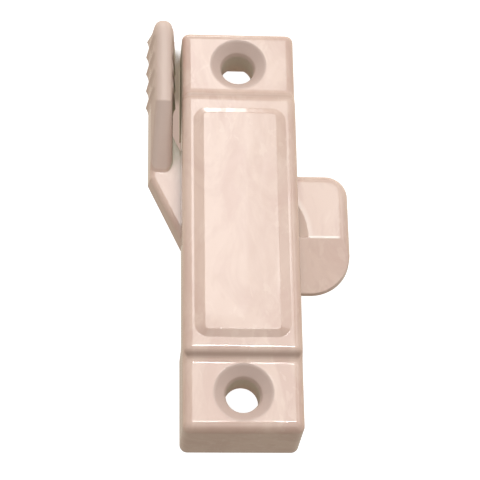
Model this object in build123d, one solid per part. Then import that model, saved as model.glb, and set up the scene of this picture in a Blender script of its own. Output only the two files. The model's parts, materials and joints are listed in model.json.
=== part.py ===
from build123d import *
import math
import os

# Surface-mounted window latch, in millimetres.
# The latch lies on its mounting face. The origin is midway between the two screw holes, on the
# mounting face. Z points out of the mounting face, Y runs along the housing towards the free end
# of the thumb lever, and X points to the side that the hook comes out of.
# The pieces stand in the locked position: lever along the housing, hook out.

# How far a cutter reaches past what it cuts, and how near counts as the same place
OVERCUT = 1.0
SAME = 0.01
# An edge that leans less than this from an axis counts as lying along it
ALONG_ANGLE = 37.0

# Screw holes in the two tabs
HOLE_SPACING = 47.6
HOLE_TO_END = 5.25
HOLE_TO_RIM = 6.1
SCREW_BORE_RADIUS = 2.25
SINK_RADIUS = 3.65
SINK_LIP = 0.25
SINK_ANGLE = 90.0
BORE_LEAD = 0.22
BORE_LEAD_DEPTH = 0.6
TAB_WALL = 5.6

# Housing, outside
LENGTH = HOLE_SPACING + 2 * HOLE_TO_END
WIDTH = 15.8
PLAN_CORNER = 1.05
DRAFT = 0.5
TAB_HEIGHT = 10.0
RIM_STEP = 0.7
RIM_HALF_LENGTH = HOLE_SPACING / 2 - HOLE_TO_RIM
STEP_RUN = 2.25
EDGE_ROUND = 1.3
FRONT_Z = TAB_HEIGHT + RIM_STEP

# Raised panel on the front of the housing
PANEL_RISE = 0.5
PANEL_MARGIN_X = 1.6
PANEL_MARGIN_Y = 1.1
PANEL_FOOT_CORNER = 1.9
PANEL_BEVEL_X = 1.35
PANEL_BEVEL_Y = 0.95
PANEL_TOP_CORNER = 0.5
PANEL_EDGE_ROUND = 0.2

# Housing, inside
SIDE_WALL = 1.6
END_WALL = 0.9
CAVITY_CORNER = 1.0
POCKET_WALL = 1.5
ROOF = 2.4
SWEEP_CLEARANCE = 0.45
SLOT_CORNER = 0.9
BOSS_RADIUS = 5.2
BOSS_ROOT = 0.6

# Rotor plate: the flat casting that carries the hub, the hook and the lever arm
ROTOR_BACK_Z = 1.9
ROTOR_THICK = 2.8
HUB_RADIUS = 7.5
RECESS_RADIUS = 9.65
RECESS_DEPTH = 0.7
RECESS_SLOPE_RUN = 1.4
RUNNING_GAP = 0.1
BOSS_CLEARANCE = 0.5
SKIRT_GAP = 0.3
ROTOR_FRONT_Z = ROTOR_BACK_Z + ROTOR_THICK
RECESS_Z = ROTOR_FRONT_Z - RECESS_DEPTH
BOSS_FACE_Z = RECESS_Z + RUNNING_GAP
SKIRT_Z = ROTOR_FRONT_Z + SKIRT_GAP

# Hook
HOOK_REACH = 15.5
HOOK_TOP = 9.8
HOOK_ROOT_ANGLE = 30.0
HOOK_TOP_CORNER = 3.2
HOOK_LEAD_CORNER = 5.6
HOOK_DRAFT = 4.0
HOOK_EDGE_ROUND = 1.5
CREASE_Y = 0.05
LEAD_EDGE_HEIGHT = 0.75

# Room that the hook needs as it turns: its far corner sweeps the largest circle
HOOK_SWEEP = math.hypot(HOOK_REACH - HOOK_TOP_CORNER, HOOK_TOP - HOOK_TOP_CORNER) + HOOK_TOP_CORNER
CAVITY_HALF_WIDTH = WIDTH / 2 - SIDE_WALL
CAVITY_HALF_LENGTH = HOOK_SWEEP + SWEEP_CLEARANCE
SLOT_HALF_LENGTH = math.sqrt(HOOK_SWEEP ** 2 - CAVITY_HALF_WIDTH ** 2) + SWEEP_CLEARANCE

# Lever arm between the hub and the thumb pad
ARM_ANGLE = 64.8
ARM_FAR_OFFSET = 1.4
ARM_EDGE_ROUND = 0.8

# Thumb pad, which stands up from the arm
PAD_LEFT = -12.35
PAD_RIGHT = -8.85
PAD_END = 32.3
PAD_HEIGHT = 8.8
PAD_LEFT_DRAFT = 6.0
PAD_RIGHT_DRAFT = 2.6
PAD_END_DRAFT = 8.0
PAD_TOP_CORNER = 3.2
PAD_EDGE_ROUND = 1.08
RAMP_START_Y = 9.5
RAMP_RUN = 8.1

# Grip ridges on both faces of the pad
RIDGE_COUNT = 5
RIDGE_PITCH = 2.74
RIDGE_HEIGHT = 0.38
RIDGE_FRONT_HEIGHT = 0.18
RIDGE_FADE = 0.7
GRIP_END_INSET = 0.3
GRIP_END_ANGLE = 6.8
FIRST_RIDGE_Y = 20.85
GRIP_CORNER = 0.8

# Pivot
RIVET_RADIUS = 2.2
RIVET_HEAD_RADIUS = 4.8
RIVET_HEAD_THICK = 0.7
RIVET_BACK_Z = 0.25
RIVET_HOLE_DEPTH = 4.2
RIVET_END_GAP = 0.3
RIVET_EDGE = 0.2
WASHER_SEAT_GAP = 0.02
PIVOT_CLEARANCE = 0.05
WASHER_RADIUS = 4.6
WASHER_THICK = 0.3
WASHER_BOW = 0.5
WASHER_HOLE_CLEARANCE = 0.15
RIVET_SEAT_Z = RIVET_BACK_Z + RIVET_HEAD_THICK


def arc_middle(center, radius, angle):
    """Point on a circle in a sketch plane, at an angle in degrees from the first axis."""
    turn = math.radians(angle)
    return (center[0] + radius * math.cos(turn), center[1] + radius * math.sin(turn))


def side_profile():
    """Outline of the housing seen from the side: flat tabs, a soft step and the raised middle."""
    radius = (RIM_STEP ** 2 + STEP_RUN ** 2) / (4 * RIM_STEP)
    turn = math.degrees(math.asin(STEP_RUN / (2 * radius)))
    foot = RIM_HALF_LENGTH + STEP_RUN
    middle = (RIM_HALF_LENGTH + STEP_RUN / 2, TAB_HEIGHT + RIM_STEP / 2)
    crest_mid = arc_middle((RIM_HALF_LENGTH, FRONT_Z - radius), radius, 90 - turn / 2)
    foot_mid = arc_middle((foot, TAB_HEIGHT + radius), radius, 270 - turn / 2)
    end = LENGTH / 2 + OVERCUT

    def mirrored(point):
        return (-point[0], point[1])

    rim = (RIM_HALF_LENGTH, FRONT_Z)
    toe = (foot, TAB_HEIGHT)
    outline = [
        Line((-end, 0), (end, 0)),
        Line((end, 0), (end, TAB_HEIGHT)),
        Line((end, TAB_HEIGHT), toe),
        ThreePointArc(toe, foot_mid, middle),
        ThreePointArc(middle, crest_mid, rim),
        Line(rim, mirrored(rim)),
        ThreePointArc(mirrored(rim), mirrored(crest_mid), mirrored(middle)),
        ThreePointArc(mirrored(middle), mirrored(foot_mid), mirrored(toe)),
        Line(mirrored(toe), (-end, TAB_HEIGHT)),
        Line((-end, TAB_HEIGHT), (-end, 0)),
    ]
    return make_face(Curve() + outline)


def housing_outside():
    """Drafted block cut to the side profile, with its front edges rounded."""
    plan = RectangleRounded(WIDTH, LENGTH, PLAN_CORNER)
    block = extrude(plan, amount=FRONT_Z + OVERCUT, taper=DRAFT)
    body = block & extrude(Plane.YZ * side_profile(), amount=WIDTH, both=True)

    def on_front_outline(edge):
        middle = edge.center()
        if middle.Z < TAB_HEIGHT - SAME:
            return False
        return abs(middle.X) > WIDTH / 4 or abs(middle.Y) > HOLE_SPACING / 2

    return fillet(body.edges().filter_by(on_front_outline), EDGE_ROUND)


def raised_panel():
    """Low frustum on the front, with bevelled sides."""
    width = WIDTH - 2 * PANEL_MARGIN_X
    length = 2 * (RIM_HALF_LENGTH - PANEL_MARGIN_Y)
    foot = RectangleRounded(width, length, PANEL_FOOT_CORNER)
    top = RectangleRounded(width - 2 * PANEL_BEVEL_X, length - 2 * PANEL_BEVEL_Y, PANEL_TOP_CORNER)
    sections = [Plane.XY.offset(FRONT_Z) * foot, Plane.XY.offset(FRONT_Z + PANEL_RISE) * top]
    panel = loft(sections, ruled=True)
    return fillet(panel.edges().group_by(Axis.Z)[-1], PANEL_EDGE_ROUND)


def screw_cutter():
    """Bore, countersink and flared lip, as one turned cutter about Z with the tab face at zero."""
    mouth_radius = SCREW_BORE_RADIUS + BORE_LEAD
    sink_depth = (SINK_RADIUS - mouth_radius) / math.tan(math.radians(SINK_ANGLE / 2))
    outline = Polyline(
        (0, -TAB_HEIGHT),
        (SCREW_BORE_RADIUS, -TAB_HEIGHT),
        (SCREW_BORE_RADIUS, -sink_depth - BORE_LEAD_DEPTH),
        (mouth_radius, -sink_depth),
        (SINK_RADIUS, -SINK_LIP / 2),
        (SINK_RADIUS + SINK_LIP, 0),
        (SINK_RADIUS + SINK_LIP, OVERCUT),
        (0, OVERCUT),
        close=True,
    )
    return revolve(make_face(Plane.XZ * outline), Axis.Z)


def housing():
    """Painted casting: two screw tabs and a hollow middle, open at the back and at both sides."""
    body = housing_outside() + raised_panel()
    inner_width = 2 * CAVITY_HALF_WIDTH
    ceiling = FRONT_Z - ROOF
    cavity_plan = RectangleRounded(inner_width, 2 * CAVITY_HALF_LENGTH, CAVITY_CORNER)
    body -= extrude(cavity_plan, amount=ceiling)
    slot = RectangleRounded(2 * SLOT_HALF_LENGTH, 2 * SKIRT_Z, SLOT_CORNER)
    body -= extrude(Plane.YZ * slot, amount=WIDTH, both=True)
    pocket_start = CAVITY_HALF_LENGTH + POCKET_WALL
    pocket_end = LENGTH / 2 - END_WALL
    pocket_plan = RectangleRounded(inner_width, pocket_end - pocket_start, CAVITY_CORNER)
    pocket = extrude(pocket_plan, amount=TAB_HEIGHT - TAB_WALL)
    for side in (-1, 1):
        body -= Pos(0, side * (pocket_start + pocket_end) / 2, 0) * pocket
        body -= Pos(0, side * HOLE_SPACING / 2, TAB_HEIGHT) * screw_cutter()
    boss_height = ceiling - BOSS_FACE_Z + BOSS_ROOT
    body += Pos(0, 0, BOSS_FACE_Z) * extrude(Circle(BOSS_RADIUS), amount=boss_height)
    body -= Pos(0, 0, BOSS_FACE_Z) * extrude(Circle(RIVET_RADIUS), amount=RIVET_HOLE_DEPTH)
    return body


def hook():
    """Hook with drafted sides, and a ramp that draws the sash in as the hook turns."""
    root_turn = math.radians(HOOK_ROOT_ANGLE)
    root = Vector(-math.sin(root_turn), math.cos(root_turn)) * HUB_RADIUS
    root_run = (HOOK_TOP - root.Y) / math.sin(root_turn)
    root_top = root + Vector(math.cos(root_turn), math.sin(root_turn)) * root_run
    lead = (HOOK_REACH, -HUB_RADIUS)
    corners = [(0, -HUB_RADIUS), lead, (HOOK_REACH, HOOK_TOP), root_top, root, (0, 0)]
    plan = make_face(Polyline(*corners, close=True))
    lead_corner = plan.vertices().filter_by(lambda v: v.X > SAME and v.Y < 0)
    plan = fillet(lead_corner, HOOK_LEAD_CORNER)
    top_corner = plan.vertices().filter_by(lambda v: v.X > HOOK_REACH - SAME and v.Y > HOOK_TOP - SAME)
    plan = fillet(top_corner, HOOK_TOP_CORNER)
    solid = Pos(0, 0, ROTOR_BACK_Z) * extrude(plan, amount=ROTOR_THICK, taper=HOOK_DRAFT)

    def on_outer_front(edge):
        middle = edge.center()
        near_hub = middle.X < HOOK_REACH / 2 and middle.Y > -HUB_RADIUS / 2
        at_root = edge.geom_type == GeomType.LINE and near_hub
        return middle.Z > ROTOR_FRONT_Z - SAME and middle.X > OVERCUT and not at_root

    solid = fillet(solid.edges().filter_by(on_outer_front), HOOK_EDGE_ROUND)
    lead_z = ROTOR_BACK_Z + LEAD_EDGE_HEIGHT
    over = ROTOR_FRONT_Z + ROTOR_THICK
    slope = (ROTOR_FRONT_Z - lead_z) / (CREASE_Y + HUB_RADIUS)
    ramp_far = CREASE_Y - 2 * HUB_RADIUS
    ramp = Polyline(
        (CREASE_Y, ROTOR_FRONT_Z),
        (CREASE_Y, over),
        (ramp_far, over),
        (ramp_far, ROTOR_FRONT_Z - 2 * HUB_RADIUS * slope),
        close=True,
    )
    return solid - extrude(Plane.YZ * make_face(ramp), amount=2 * HOOK_REACH, both=True)


def arm():
    """Straight-sided arm from the hub to the pad, its near side tangent to the hub."""
    turn = math.radians(ARM_ANGLE)
    across = Vector(-math.sin(turn), -math.cos(turn))
    along = Vector(-math.cos(turn), math.sin(turn))

    def on_line(offset, x):
        start = across * offset
        return start + along * ((x - start.X) / along.X)

    near_corner = on_line(HUB_RADIUS, PAD_LEFT)
    far_corner = on_line(ARM_FAR_OFFSET, PAD_RIGHT)
    points = [
        across * ARM_FAR_OFFSET,
        far_corner,
        Vector(PAD_LEFT, far_corner.Y),
        near_corner,
        across * HUB_RADIUS,
    ]
    plan = make_face(Polyline(*points, close=True))
    solid = Pos(0, 0, ROTOR_BACK_Z) * extrude(plan, amount=ROTOR_THICK, taper=PAD_LEFT_DRAFT)

    def on_near_side(edge):
        middle = edge.center()
        from_far_side = middle.X * across.X + middle.Y * across.Y
        outer = middle.X < PAD_LEFT + OVERCUT or from_far_side > HUB_RADIUS - OVERCUT
        return middle.Z > ROTOR_FRONT_Z - SAME and outer

    return fillet(solid.edges().filter_by(on_near_side), ARM_EDGE_ROUND)


def pad_section(height, grow, start, end_grow):
    """Rectangle of the pad at a height over its back, each face moved out by an amount."""
    left = PAD_LEFT + height * math.tan(math.radians(PAD_LEFT_DRAFT)) - grow
    right = PAD_RIGHT - height * math.tan(math.radians(PAD_RIGHT_DRAFT)) + grow
    end = PAD_END - height * math.tan(math.radians(PAD_END_DRAFT)) + end_grow
    plane = Plane.XY.offset(ROTOR_BACK_Z + height)
    return plane * Pos((left + right) / 2, (start + end) / 2) * Rectangle(right - left, end - start)


def pad():
    """Thumb pad: a drafted blade with a rounded front, cut down by a ramp to the arm."""
    front_z = ROTOR_BACK_Z + PAD_HEIGHT
    ends = [pad_section(height, 0, RAMP_START_Y, 0) for height in (0, PAD_HEIGHT)]
    blade = loft(ends, ruled=True)
    front_end = blade.edges().filter_by(Axis.X).group_by(Axis.Z)[-1].sort_by(Axis.Y)[-1]
    blade = fillet(front_end, PAD_TOP_CORNER)
    above = front_z + OVERCUT
    ramp = Polyline(
        (RAMP_START_Y, ROTOR_FRONT_Z),
        (RAMP_START_Y + RAMP_RUN, front_z),
        (RAMP_START_Y + RAMP_RUN, above),
        (RAMP_START_Y - OVERCUT, above),
        (RAMP_START_Y - OVERCUT, ROTOR_FRONT_Z),
        close=True,
    )
    blade -= extrude(Plane.YZ * make_face(ramp), amount=2 * abs(PAD_LEFT), both=True)

    def on_rim(edge):
        middle = edge.center()
        along_x = abs(edge.tangent_at(0).X) > math.cos(math.radians(ALONG_ANGLE))
        upright_start = middle.Y < RAMP_START_Y + SAME
        return middle.Z > ROTOR_BACK_Z + SAME and not upright_start and not along_x

    return fillet(blade.edges().filter_by(on_rim), PAD_EDGE_ROUND)


def grip():
    """Ridges across both faces of the pad, left standing between scooped hollows."""
    start = FIRST_RIDGE_Y - RIDGE_PITCH / 2
    body_height = PAD_HEIGHT - PAD_EDGE_ROUND - RIDGE_FADE / 2
    stations = [
        (0, RIDGE_HEIGHT),
        (body_height, RIDGE_FRONT_HEIGHT),
        (body_height + RIDGE_FADE, -RIDGE_HEIGHT / 4),
    ]
    sections = []
    for height, grow in stations:
        inset = GRIP_END_INSET + height * math.tan(math.radians(GRIP_END_ANGLE))
        sections.append(pad_section(height, grow, start, -inset))

    def at_end(edge):
        upright = abs(edge.tangent_at(0).Z) > math.cos(math.radians(ALONG_ANGLE))
        return upright and edge.center().Y > (start + PAD_END) / 2

    block = Part()
    for lower, upper in zip(sections, sections[1:]):
        layer = loft([lower, upper], ruled=True)
        block += fillet(layer.edges().filter_by(at_end), GRIP_CORNER)
    scoop = ((RIDGE_PITCH / 2) ** 2 + RIDGE_HEIGHT ** 2) / (2 * RIDGE_HEIGHT)
    for index in range(RIDGE_COUNT + 1):
        y = start + index * RIDGE_PITCH
        for side, edge, draft in ((-1, PAD_LEFT, -PAD_LEFT_DRAFT), (1, PAD_RIGHT, PAD_RIGHT_DRAFT)):
            lean = math.tan(math.radians(draft))
            foot = Vector(edge + side * scoop, y, ROTOR_BACK_Z)
            axis = Vector(-lean, 0, 1).normalized()
            plane = Plane(origin=foot - axis * OVERCUT, z_dir=axis)
            block -= extrude(plane * Circle(scoop), amount=PAD_HEIGHT + 2 * OVERCUT)
    return block


def recess_cutters():
    """Round pocket for the boss, and a shallow dish that leads out of it up to the hook's crease."""
    outline = Polyline(
        (0, RECESS_Z),
        (RECESS_RADIUS - RECESS_SLOPE_RUN, RECESS_Z),
        (RECESS_RADIUS, ROTOR_FRONT_Z),
        (RECESS_RADIUS, ROTOR_FRONT_Z + OVERCUT),
        (0, ROTOR_FRONT_Z + OVERCUT),
        close=True,
    )
    dish = revolve(Plane.XZ * make_face(outline), Axis.Z)
    middle = (HOOK_REACH / 2, CREASE_Y + HOOK_TOP / 2, RECESS_Z)
    hook_side = Pos(*middle) * Box(HOOK_REACH, HOOK_TOP, HOOK_TOP)
    pocket = Pos(0, 0, RECESS_Z) * extrude(Circle(BOSS_RADIUS + BOSS_CLEARANCE), amount=ROTOR_THICK)
    return dish & hook_side, pocket


def lever():
    """One casting: thumb pad, arm, hub and hook, turning about the rivet."""
    hub = Pos(0, 0, ROTOR_BACK_Z) * extrude(Circle(HUB_RADIUS), amount=ROTOR_THICK)
    body = hub + arm() + hook() + pad() + grip()
    for cutter in recess_cutters():
        body -= cutter
    body -= extrude(Circle(RIVET_RADIUS + PIVOT_CLEARANCE), amount=ROTOR_FRONT_Z)
    return body


def rivet():
    """Flat-headed rivet that carries the lever and is pressed into the boss of the housing."""
    tip_z = BOSS_FACE_Z + RIVET_HOLE_DEPTH - RIVET_END_GAP
    outline = Polyline(
        (0, RIVET_BACK_Z),
        (RIVET_HEAD_RADIUS - RIVET_EDGE, RIVET_BACK_Z),
        (RIVET_HEAD_RADIUS, RIVET_BACK_Z + RIVET_EDGE),
        (RIVET_HEAD_RADIUS, RIVET_SEAT_Z),
        (RIVET_RADIUS, RIVET_SEAT_Z),
        (RIVET_RADIUS, tip_z - RIVET_EDGE),
        (RIVET_RADIUS - RIVET_EDGE, tip_z),
        (0, tip_z),
        close=True,
    )
    return revolve(Plane.XZ * make_face(outline), Axis.Z)


def spring_washer():
    """Bowed spring washer between the rivet head and the hub, which gives the lever its friction."""
    bend = (WASHER_RADIUS ** 2 + WASHER_BOW ** 2) / (2 * WASHER_BOW)
    crown_z = RIVET_SEAT_Z + WASHER_SEAT_GAP + WASHER_BOW
    ring = Circle(WASHER_RADIUS) - Circle(RIVET_RADIUS + WASHER_HOLE_CLEARANCE)
    blank = extrude(ring, amount=ROTOR_BACK_Z)
    across = Plane(origin=(0, 0, crown_z - bend), z_dir=(1, 0, 0))
    tube = Circle(bend + WASHER_THICK) - Circle(bend)
    shell = extrude(across * tube, amount=2 * WASHER_RADIUS, both=True)
    return blank & shell


def main():
    os.makedirs("parts", exist_ok=True)
    export_step(housing(), "parts/housing.step")
    export_step(lever(), "parts/lever.step")
    export_step(rivet(), "parts/rivet.step")
    export_step(spring_washer(), "parts/spring_washer.step")


if __name__ == "__main__":
    main()
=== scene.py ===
import json
import math

import bpy
from mathutils import Matrix, Vector

# Camera, fitted to the straight and symmetric lines of the photograph, in metres and radians.
# Yaw turns it to the side, pitch tips it back from looking straight down at the mounting face.
CAMERA_PLACE = Vector((-0.015255, -0.086023, 0.207612))
CAMERA_YAW = 0.07616
CAMERA_PITCH = 0.39787
CAMERA_ROLL = -0.01674
CAMERA_CLIP = (0.01, 10)
FOCAL_PIXELS = 1618.1
IMAGE_PIXELS = 480
SENSOR_MM = 36.0

# Colours of the enamel: its clouds and wisps, then its painted shade and painted highlights, and its
# tones in the sinks and on the pad
ENAMEL = (0.645, 0.463, 0.374)
ENAMEL_PALE = (0.675, 0.494, 0.4)
ENAMEL_PINK = (0.62, 0.43, 0.348)
ENAMEL_WISP = (0.75, 0.59, 0.485)
STEP_SHADE = (0.36, 0.247, 0.19)
PAINTED_HIGHLIGHT = (0.95, 0.88, 0.8)
RECESS_SHADE = (0.63, 0.61, 0.49)
SINK_TONE = (0.6, 0.46, 0.395)
PAD_TONE = (0.64, 0.495, 0.42)

# Patterns of the enamel. Each noise has its cells per metre and how far it is drawn out along Y.
# A fade is the pair of values between which a share goes from nought to its most.
NOISE_MIDDLE = 0.5
CLOUDS = {"scale": 170, "detail": 4, "roughness": 0.6, "stretch": 2.0, "distortion": 1.0}
CLOUD_STOPS = ((0.4, ENAMEL_PINK), (0.5, ENAMEL), (0.58, ENAMEL_PALE))
# The wisps are pale streaks of painted reflection
WISPS = {"scale": 430, "detail": 2, "roughness": 0.5, "stretch": 1.7, "distortion": 2.0}
WISP_FADE = (0.54, 0.62)
WISP_SHARE = 0.28
WISP_AREAS = {"scale": 120, "detail": 1, "roughness": 0.5}
WISP_AREA_FADE = (0.48, 0.56)
WAVES = {"scale": 220, "detail": 2, "roughness": 0.5, "stretch": 1.5, "distortion": 0.4}
WAVE_DEPTH = 0.00017
PEEL = {"scale": 900, "detail": 2, "roughness": 0.5}
PEEL_DEPTH = 0.00004
PEEL_STRENGTH = 0.12
EDGE_RADIUS = 0.0003
EDGE_SAMPLES = 8
EDGE_FADE = (0.99, 0.88)
EDGE_SHARE = 0.35
# Painted shade in holes, slots and corners: the enamel darkens where a point is closed in
RECESS_REACH = 0.006
RECESS_SAMPLES = 8
RECESS_FADE = (0.5, 0.22)

# Gloss of the enamel
GLOSS_ROUGHNESS = (0.1, 0.2)
WORN_ROUGHNESS = 0.22
RECESS_ROUGHNESS = 0.6
COAT_WEIGHT = 0.8
COAT_ROUGHNESS = 0.03

# Places on the latch that the enamel follows, in metres. The sinks lie round the screw holes of the
# record, and the steps lie nearer to the middle. The steps get painted shade, the lower one more than
# the upper one.
METRES_PER_MM = 0.001
SINK_RADIUS = 0.0038
SINK_BLUR = 0.00025
STEP_INSET = 0.005
STEP_HALF_WIDTH = 0.0009
STEP_Z_FADE = (0.0098, 0.0101)
STEP_SIDES = (-0.001, 0.001)
STEP_SHADE_SHARES = (0.9, 0.5)
PAD_X_FADE = (-0.0081, -0.0083)
PAD_Z_FADE = (0.0048, 0.0052)

# Places on the hook, whose crease and dish rim get painted highlights
HOOK_ROOT_FADE = (0.008, 0.0086)
HOOK_TIP_FADE = (0.0142, 0.0136)
HOOK_Z_FADE = (0.0022, 0.0024)
CREASE_Y = 0.0001
UPPER_FADE = (CREASE_Y, CREASE_Y + 0.0002)
CREASE_FADE = (0.00025, 0.00008)
CREASE_SHARE = 0.9
DISH_RADIUS = 0.0098
DISH_BLUR = 0.0002
DISH_SLOPE = 0.0003
RIM_FADE = (0.0009, 0.0001)
RIM_SHARE = 0.3
RAMP_SHARE = 0.035
PLATEAU_SHARE = 0.07
DISH_SHARE = 0.25

# Steel of the pivot
STEEL = (0.52, 0.52, 0.50)
STEEL_DULL = (0.36, 0.36, 0.35)
STEEL_STOPS = ((0.35, STEEL_DULL), (0.65, STEEL))
STEEL_PATCHES = {"scale": 700, "detail": 5, "roughness": 0.65}
STEEL_ROUGHNESS = 0.36
RING_SCALE = 1600
RING_DEPTH = 0.00002
RING_STRENGTH = 0.3

# Floor. It glows, as a light table does, but its glow doesn't reach the object. It has painted shade,
# blotched and pinker towards the middle with painted reflected light, only where the thumb pad and
# the housing close it in.
FLOOR_SIDE = 20.0
FLOOR_COLOR = (0.3, 0.3, 0.3)
FLOOR_ROUGHNESS = 0.9
FLOOR_GLOW = 1.0
WHITE = (1.0, 1.0, 1.0)
GAP_FLOOR = (0.02, 0.02, 0.02)
GAP_SHADE_STOPS = ((0.3, (0.26, 0.2, 0.147)), (0.7, (0.5, 0.37, 0.31)))
GAP_REACH = 0.02
GAP_SAMPLES = 32
GAP_FADE = (0.62, 0.44)
GAP_X_FADES = ((-0.0102, -0.0097), (-0.0068, -0.0071))
GAP_Y_FADES = ((0.008, 0.009), (0.0328, 0.0312))
GAP_BLOTCHES = {"scale": 330, "detail": 2, "roughness": 0.5, "stretch": 1.6}
GAP_PINK_FADE = (0.0255, 0.0205)

# Lamps. Each has a lean from straight up towards +Y and one towards +X, both in degrees,
# then its size in metres and its power in watts. All stand at the same distance.
LAMP_DISTANCE = 0.6
LAMPS = {
    "soft_box": ((25.3, 4), (0.26, 0.272), 0.468),
    "soft_left": ((29.3, -2.8), (0.15, 0.228), 0.154),
    "near_box": ((-24, 5), (0.3, 0.4), 0.28),
    "near_tube": ((8, 4), (0.3, 0.015), 0.72),
    "right_tube": ((22, 19), (0.012, 0.25), 0.05),
    "right_box": ((20, 42), (0.16, 0.24), 0.13),
    "wisp": ((22, 6.1), (0.007, 0.05), 0.0036),
    "far_strip": ((83, -9.0), (0.28, 0.06), 0.32),
}

# Room. Each row is an axis, the fade along it and the brightness that it adds. Below it is warmer.
ROOM = (
    ("Z", (0.3, -0.3), 0.4),
    ("Z", (0, 1), 0.52),
    ("Y", (0, 1), 0.66),
    ("X", (0, 1), 0.28),
    ("X", (0, -1), 0.28),
)
ROOM_STOPS = ((0.4, (1.0, 0.84, 0.68)), (0.6, WHITE))


def node_tree(material):
    material.use_nodes = True
    tree = material.node_tree
    tree.nodes.clear()
    return tree


def add_node(tree, kind, **sockets):
    """Adds a shader node and sets its unlinked sockets by name."""
    node = tree.nodes.new(kind)
    for name, value in sockets.items():
        node.inputs[name.replace("_", " ")].default_value = value
    return node


def join(tree, value, socket):
    """Sets a socket to a number, or links it to another socket."""
    if isinstance(value, (int, float)):
        socket.default_value = value
    else:
        tree.links.new(value, socket)


def finish_material(tree, shader):
    output = tree.nodes.new("ShaderNodeOutputMaterial")
    tree.links.new(shader.outputs["BSDF"], output.inputs["Surface"])


def color_ramp(tree, share, stops):
    """Colour that goes from one stop to the next as a share rises."""
    node = tree.nodes.new("ShaderNodeValToRGB")
    elements = node.color_ramp.elements
    while len(elements) < len(stops):
        elements.new(0.5)
    for element, (place, color) in zip(elements, stops):
        element.position = place
        element.color = (*color, 1.0)
    tree.links.new(share, node.inputs["Fac"])
    return node.outputs["Color"]


def color_mix(tree, share, under, over):
    """One colour over another by a share from nought to one. Each is a socket or three numbers."""
    node = tree.nodes.new("ShaderNodeMix")
    node.data_type = "RGBA"
    tree.links.new(share, node.inputs["Factor"])
    inputs = [socket for socket in node.inputs if socket.type == "RGBA"]
    for socket, value in zip(inputs, (under, over)):
        if isinstance(value, tuple):
            socket.default_value = (*value, 1.0)
        else:
            tree.links.new(value, socket)
    return next(socket for socket in node.outputs if socket.type == "RGBA")


def noise(tree, scale, detail, roughness, stretch=1.0, distortion=0.0):
    """Noise over the object's own coordinates, in cells per metre, drawn out along Y."""
    coords = tree.nodes.new("ShaderNodeTexCoord")
    squeeze = tree.nodes.new("ShaderNodeMapping")
    squeeze.inputs["Scale"].default_value = (1, 1 / stretch, 1)
    tree.links.new(coords.outputs["Object"], squeeze.inputs["Vector"])
    sockets = {"Scale": scale, "Detail": detail, "Roughness": roughness, "Distortion": distortion}
    node = add_node(tree, "ShaderNodeTexNoise", **sockets)
    tree.links.new(squeeze.outputs["Vector"], node.inputs["Vector"])
    return node.outputs["Fac"]


def combine(tree, operation, *values):
    """Sockets or numbers brought together, one after another, by a node of arithmetic each."""
    total = values[0]
    for value in values[1:]:
        node = tree.nodes.new("ShaderNodeMath")
        node.operation = operation
        join(tree, total, node.inputs[0])
        join(tree, value, node.inputs[1])
        total = node.outputs["Value"]
    return total


def offset(tree, value, place):
    """How far a coordinate is from a place, on either side."""
    return combine(tree, "ABSOLUTE", combine(tree, "SUBTRACT", value, place), 0.0)


def distance(tree, across, along):
    """How far a point is from nought, from its two coordinates."""
    squares = [combine(tree, "MULTIPLY", value, value) for value in (across, along)]
    return combine(tree, "SQRT", combine(tree, "ADD", *squares), 0.0)


def place_sockets(tree):
    """X, Y and Z of a point in the object's own coordinates."""
    coords = tree.nodes.new("ShaderNodeTexCoord")
    split = tree.nodes.new("ShaderNodeSeparateXYZ")
    tree.links.new(coords.outputs["Object"], split.inputs["Vector"])
    return split.outputs["X"], split.outputs["Y"], split.outputs["Z"]


def map_range(tree, value, limits, results):
    """A value carried smoothly from one range to another."""
    node = tree.nodes.new("ShaderNodeMapRange")
    node.interpolation_type = "SMOOTHSTEP"
    names = ("Value", "From Min", "From Max", "To Min", "To Max")
    for name, given in zip(names, (value, *limits, *results)):
        join(tree, given, node.inputs[name])
    return node.outputs["Result"]


def fade(tree, value, limits, most=1.0):
    """A share that goes smoothly from nought at the first limit to its most at the second."""
    return map_range(tree, value, limits, (0.0, most))


def open_share(tree, reach, samples):
    """One in the open, and nearly nought deep in a hole or a narrow gap."""
    occlusion = tree.nodes.new("ShaderNodeAmbientOcclusion")
    occlusion.samples = samples
    occlusion.inputs["Distance"].default_value = reach
    return occlusion.outputs["AO"]


def rounded_normal(tree):
    """The surface's normal with its sharp edges rounded over."""
    bevel = tree.nodes.new("ShaderNodeBevel")
    bevel.samples = EDGE_SAMPLES
    bevel.inputs["Radius"].default_value = EDGE_RADIUS
    return bevel.outputs["Normal"]


def edge_share(tree, rounded):
    """One on sharp edges and nought on flats: how far a rounded normal leans from the true one."""
    geometry = tree.nodes.new("ShaderNodeNewGeometry")
    dot = tree.nodes.new("ShaderNodeVectorMath")
    dot.operation = "DOT_PRODUCT"
    tree.links.new(rounded, dot.inputs[0])
    tree.links.new(geometry.outputs["Normal"], dot.inputs[1])
    spread = tree.nodes.new("ShaderNodeMapRange")
    spread.inputs["From Min"].default_value, spread.inputs["From Max"].default_value = EDGE_FADE
    tree.links.new(dot.outputs["Value"], spread.inputs["Value"])
    return spread.outputs["Result"]


def bump(tree, height, normal, depth, strength):
    """A normal disturbed by a height. Without a normal of its own it starts from the surface's."""
    node = add_node(tree, "ShaderNodeBump", Strength=strength, Distance=depth)
    tree.links.new(height, node.inputs["Height"])
    if normal:
        tree.links.new(normal, node.inputs["Normal"])
    return node.outputs["Normal"]


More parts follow.
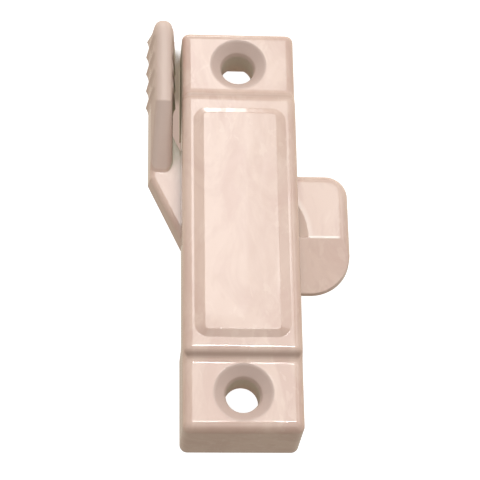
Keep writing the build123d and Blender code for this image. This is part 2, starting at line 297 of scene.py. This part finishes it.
def mottled_color(tree, clouds, edge):
    """Cream with pink clouds and pale wisps of painted reflection, and paler where the paint runs
    thin over an edge.
    """
    cloud_color = color_ramp(tree, clouds, CLOUD_STOPS)
    wisps = fade(tree, noise(tree, **WISPS), WISP_FADE, WISP_SHARE)
    areas = fade(tree, noise(tree, **WISP_AREAS), WISP_AREA_FADE)
    mottled = color_mix(tree, combine(tree, "MULTIPLY", wisps, areas), cloud_color, ENAMEL_WISP)
    return color_mix(tree, combine(tree, "MULTIPLY", edge, EDGE_SHARE), mottled, ENAMEL_PALE)


def hole_place(record):
    """How far the screw holes are from the middle along Y."""
    mounts = {mount["name"]: mount for mount in record["mounts"]}
    return mounts["screw_holes"]["dims"]["spacing_y_mm"] / 2 * METRES_PER_MM


def sink_share(tree, x, away, hole_y):
    """One in the countersinks and bores, from X and the distance along Y from the middle."""
    from_axis = distance(tree, x, combine(tree, "SUBTRACT", away, hole_y))
    return fade(tree, from_axis, (SINK_RADIUS + SINK_BLUR, SINK_RADIUS))


def step_share(tree, away, z, hole_y):
    """One in the two hollows where the housing steps down to its tabs."""
    along = fade(tree, offset(tree, away, hole_y - STEP_INSET), (STEP_HALF_WIDTH, 0.0))
    return combine(tree, "MULTIPLY", along, fade(tree, z, STEP_Z_FADE))


def pad_share(tree, x, z):
    """One on the thumb pad."""
    return combine(tree, "MULTIPLY", fade(tree, x, PAD_X_FADE), fade(tree, z, PAD_Z_FADE))


def hook_share(tree, x, z):
    """One on the hook, outside the housing."""
    return combine(tree, "MULTIPLY", fade(tree, x, HOOK_ROOT_FADE), fade(tree, z, HOOK_Z_FADE))


def recess_share(tree, on_hook):
    """One in holes, slots and corners, but not on the hook. There it lays on painted shade and duller
    gloss.
    """
    closed_in = fade(tree, open_share(tree, RECESS_REACH, RECESS_SAMPLES), RECESS_FADE)
    return combine(tree, "MULTIPLY", closed_in, combine(tree, "SUBTRACT", 1.0, on_hook))


def painted_highlight_share(tree, x, y):
    """Painted highlight on the hook: most at its crease, then at its dish and the rim of the dish,
    faint on its plateau and ramp.
    """
    from_pivot = distance(tree, x, y)
    crease = combine(
        tree,
        "MULTIPLY",
        fade(tree, offset(tree, y, CREASE_Y), CREASE_FADE, CREASE_SHARE),
        fade(tree, x, HOOK_TIP_FADE),
        fade(tree, from_pivot, (DISH_RADIUS - DISH_BLUR, DISH_RADIUS + DISH_BLUR)),
    )
    rim = fade(tree, offset(tree, from_pivot, DISH_RADIUS), RIM_FADE, RIM_SHARE)
    upper_rim = combine(tree, "MULTIPLY", rim, fade(tree, y, UPPER_FADE))
    dish_limits = (DISH_RADIUS, DISH_RADIUS - DISH_SLOPE)
    above = map_range(tree, from_pivot, dish_limits, (PLATEAU_SHARE, DISH_SHARE))
    flats = map_range(tree, y, UPPER_FADE, (RAMP_SHARE, above))
    return combine(tree, "MAXIMUM", crease, upper_rim, flats)


def enamel_material(hole_y):
    """Thick glossy enamel, mottled and wavy, that is duller in its hollows and on the thumb pad, with
    painted shade in its hollows and steps and painted highlights on the hook.
    """
    material = bpy.data.materials.new("enamel")
    tree = node_tree(material)
    link = tree.links.new
    x, y, z = place_sockets(tree)
    away = combine(tree, "ABSOLUTE", y, 0.0)
    clouds = noise(tree, **CLOUDS)
    rounded = rounded_normal(tree)
    in_step = step_share(tree, away, z, hole_y)
    in_sink = sink_share(tree, x, away, hole_y)
    on_pad = pad_share(tree, x, z)
    on_hook = hook_share(tree, x, z)
    # Painted shade in holes, slots and corners
    recess = recess_share(tree, on_hook)
    # Painted shade in the steps, more in the lower step than the upper one
    step_shade = combine(tree, "MULTIPLY", in_step, map_range(tree, y, STEP_SIDES, STEP_SHADE_SHARES))
    # Painted highlight on the hook's crease and dish rim, and paler painted light on its dish and
    # flats
    hook_painted_highlight = combine(tree, "MULTIPLY", painted_highlight_share(tree, x, y), on_hook)

    color = mottled_color(tree, clouds, edge_share(tree, rounded))
    for share, tone in (
        (step_shade, STEP_SHADE),
        (in_sink, SINK_TONE),
        (recess, RECESS_SHADE),
        (on_pad, PAD_TONE),
        (hook_painted_highlight, PAINTED_HIGHLIGHT),
    ):
        color = color_mix(tree, share, color, tone)

    gloss = tree.nodes.new("ShaderNodeMapRange")
    gloss.inputs["To Min"].default_value, gloss.inputs["To Max"].default_value = GLOSS_ROUGHNESS
    link(clouds, gloss.inputs["Value"])
    worn = combine(tree, "MAXIMUM", in_sink, in_step, on_pad)
    worn_roughness = combine(tree, "MULTIPLY", worn, WORN_ROUGHNESS)
    recess_roughness = combine(tree, "MULTIPLY", recess, RECESS_ROUGHNESS)
    roughness = combine(tree, "ADD", gloss.outputs["Result"], worn_roughness, recess_roughness)
    coated = combine(tree, "SUBTRACT", 1.0, combine(tree, "MAXIMUM", worn, recess))

    waves = bump(tree, noise(tree, **WAVES), rounded, WAVE_DEPTH, 1.0)
    normal = bump(tree, noise(tree, **PEEL), waves, PEEL_DEPTH, PEEL_STRENGTH)
    shader = add_node(tree, "ShaderNodeBsdfPrincipled", Coat_Roughness=COAT_ROUGHNESS)
    link(color, shader.inputs["Base Color"])
    link(roughness, shader.inputs["Roughness"])
    link(combine(tree, "MULTIPLY", coated, COAT_WEIGHT), shader.inputs["Coat Weight"])
    link(normal, shader.inputs["Normal"])
    finish_material(tree, shader)
    return material


def steel_material():
    """Zinc-plated steel with fine turning marks and dull patches."""
    material = bpy.data.materials.new("steel")
    tree = node_tree(material)
    color = color_ramp(tree, noise(tree, **STEEL_PATCHES), STEEL_STOPS)
    rings = tree.nodes.new("ShaderNodeTexWave")
    rings.wave_type = "RINGS"
    rings.rings_direction = "Z"
    rings.inputs["Scale"].default_value = RING_SCALE
    coords = tree.nodes.new("ShaderNodeTexCoord")
    tree.links.new(coords.outputs["Object"], rings.inputs["Vector"])
    normal = bump(tree, rings.outputs["Fac"], None, RING_DEPTH, RING_STRENGTH)
    shader = add_node(tree, "ShaderNodeBsdfPrincipled", Metallic=1.0, Roughness=STEEL_ROUGHNESS)
    tree.links.new(color, shader.inputs["Base Color"])
    tree.links.new(normal, shader.inputs["Normal"])
    finish_material(tree, shader)
    return material


def gap_share(tree, x, y):
    """One on the floor of the narrow gap between the thumb pad and the housing, where the floor gets
    painted shade.
    """
    fades = [fade(tree, open_share(tree, GAP_REACH, GAP_SAMPLES), GAP_FADE)]
    fades += [fade(tree, x, limits) for limits in GAP_X_FADES]
    fades += [fade(tree, y, limits) for limits in GAP_Y_FADES]
    return combine(tree, "MULTIPLY", *fades)


def floor_material():
    """Plain pale floor that glows white, but has blotched painted shade in the gap behind the thumb
    pad.
    """
    material = bpy.data.materials.new("floor")
    tree = node_tree(material)
    x, y, _ = place_sockets(tree)
    in_gap = gap_share(tree, x, y)
    blotches = combine(tree, "SUBTRACT", noise(tree, **GAP_BLOTCHES), NOISE_MIDDLE)
    # Towards the middle the painted shade turns pinker, as painted reflected light from the lever
    pinkness = combine(tree, "ADD", fade(tree, y, GAP_PINK_FADE), blotches)
    gap_shade_color = color_ramp(tree, pinkness, GAP_SHADE_STOPS)
    base = color_mix(tree, in_gap, FLOOR_COLOR, GAP_FLOOR)
    glow = color_mix(tree, in_gap, WHITE, gap_shade_color)
    shader = add_node(tree, "ShaderNodeBsdfPrincipled", Roughness=FLOOR_ROUGHNESS)
    shader.inputs["Emission Strength"].default_value = FLOOR_GLOW
    tree.links.new(base, shader.inputs["Base Color"])
    tree.links.new(glow, shader.inputs["Emission Color"])
    finish_material(tree, shader)
    return material


def dress(frame, materials):
    """Gives each node of the frame the material of its slot in the record."""
    for part in frame["record"]["subparts"]:
        node = frame["nodes"][part["node"]]
        node.data.materials.clear()
        node.data.materials.append(materials[part["material_slot"]])


def add_floor():
    bpy.ops.mesh.primitive_plane_add(size=FLOOR_SIDE)
    floor = bpy.context.object
    floor.name = "floor"
    floor.data.materials.append(floor_material())
    floor.visible_diffuse = False
    floor.visible_glossy = False


def area_light(name, leans, size, watts):
    """Lamp that faces the object from a direction given by its leans towards +Y and +X."""
    over, aside = (math.radians(lean) for lean in leans)
    sideways = Vector((1, 0, 0))
    upwards = Vector((0, math.sin(over), math.cos(over)))
    right = math.cos(aside) * sideways - math.sin(aside) * upwards
    back = math.cos(aside) * upwards + math.sin(aside) * sideways
    turn = Matrix((right, back.cross(right), back)).transposed()
    data = bpy.data.lights.new(name, "AREA")
    data.shape = "RECTANGLE"
    data.size, data.size_y = size
    data.energy = watts
    light = bpy.data.objects.new(name, data)
    bpy.context.scene.collection.objects.link(light)
    light.visible_camera = False
    light.matrix_world = Matrix.Translation(back * LAMP_DISTANCE) @ turn.to_4x4()


def room_light():
    """A plain room whose brightness differs above, below and to each side."""
    world = bpy.data.worlds.new("room")
    bpy.context.scene.world = world
    world.use_nodes = True
    tree = world.node_tree
    coords = tree.nodes.new("ShaderNodeTexCoord")
    split = tree.nodes.new("ShaderNodeSeparateXYZ")
    tree.links.new(coords.outputs["Generated"], split.inputs["Vector"])
    parts = [fade(tree, split.outputs[axis], limits, most) for axis, limits, most in ROOM]
    height = map_range(tree, split.outputs["Z"], (-1, 1), (0, 1))
    background = tree.nodes["Background"]
    tree.links.new(combine(tree, "ADD", *parts), background.inputs["Strength"])
    tree.links.new(color_ramp(tree, height, ROOM_STOPS), background.inputs["Color"])


def add_light():
    """Soft boxes that the flats mirror, tubes and strips for the bright lines, and the room."""
    for name, lamp in LAMPS.items():
        area_light(name, *lamp)
    room_light()


def add_camera():
    yaw, pitch, roll = CAMERA_YAW, CAMERA_PITCH, CAMERA_ROLL
    down = Vector((math.sin(yaw), 0, -math.cos(yaw)))
    forward = math.cos(pitch) * down + math.sin(pitch) * Vector((0, 1, 0))
    level = Vector((math.cos(yaw), 0, math.sin(yaw)))
    above = level.cross(forward)
    right = math.cos(roll) * level + math.sin(roll) * above
    up = math.cos(roll) * above - math.sin(roll) * level
    data = bpy.data.cameras.new("camera")
    data.sensor_width = SENSOR_MM
    data.lens = SENSOR_MM * FOCAL_PIXELS / IMAGE_PIXELS
    data.clip_start, data.clip_end = CAMERA_CLIP
    camera = bpy.data.objects.new("camera", data)
    bpy.context.scene.collection.objects.link(camera)
    turn = Matrix((right, up, -forward)).transposed()
    camera.matrix_world = Matrix.Translation(CAMERA_PLACE) @ turn.to_4x4()
    bpy.context.scene.camera = camera


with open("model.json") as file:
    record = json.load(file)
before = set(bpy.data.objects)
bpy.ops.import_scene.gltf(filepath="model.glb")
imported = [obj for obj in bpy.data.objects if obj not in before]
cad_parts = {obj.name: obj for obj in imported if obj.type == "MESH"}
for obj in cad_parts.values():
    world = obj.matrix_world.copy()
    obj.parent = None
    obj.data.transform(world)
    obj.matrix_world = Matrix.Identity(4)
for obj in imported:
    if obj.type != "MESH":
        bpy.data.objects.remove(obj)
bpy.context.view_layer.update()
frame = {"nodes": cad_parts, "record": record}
enamel = enamel_material(hole_place(frame["record"]))
dress(frame, {"enamel": enamel, "steel": steel_material()})
add_floor()
add_light()
add_camera()
bpy.context.scene.view_settings.view_transform = "Standard"
